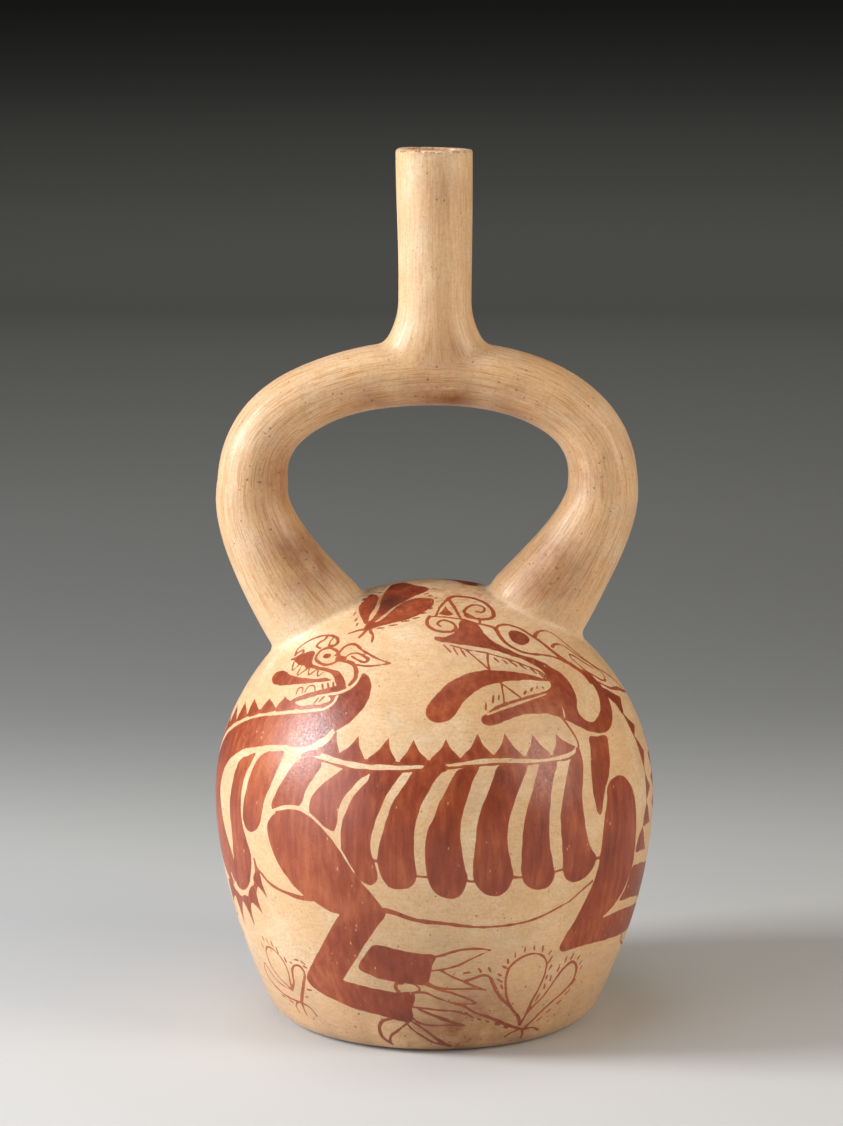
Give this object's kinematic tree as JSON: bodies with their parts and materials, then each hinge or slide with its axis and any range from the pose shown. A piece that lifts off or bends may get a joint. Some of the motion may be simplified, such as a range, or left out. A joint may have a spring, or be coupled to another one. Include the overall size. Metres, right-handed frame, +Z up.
{
  "type": "stirrup spout vessel",
  "caption": "Hollow fired clay bottle with a round flat-based body, a looped stirrup handle and a tall tubular spout, painted in red on cream slip.",
  "frame": {"origin": "centre of the flat underside, where the body's axis meets the surface it stands on", "axes": "+Z up along the body's and the spout's axis; the stirrup loop lies in the XZ plane; -Y is the front"},
  "size_m": [0.147, 0.147, 0.29],
  "materials": {
    "cream_slip": "burnished cream slip over low-fired clay, with painted red slip figures"
  },
  "bodies": {
    "root": {"vessel": "cream_slip"}
  },
  "joints": []
}
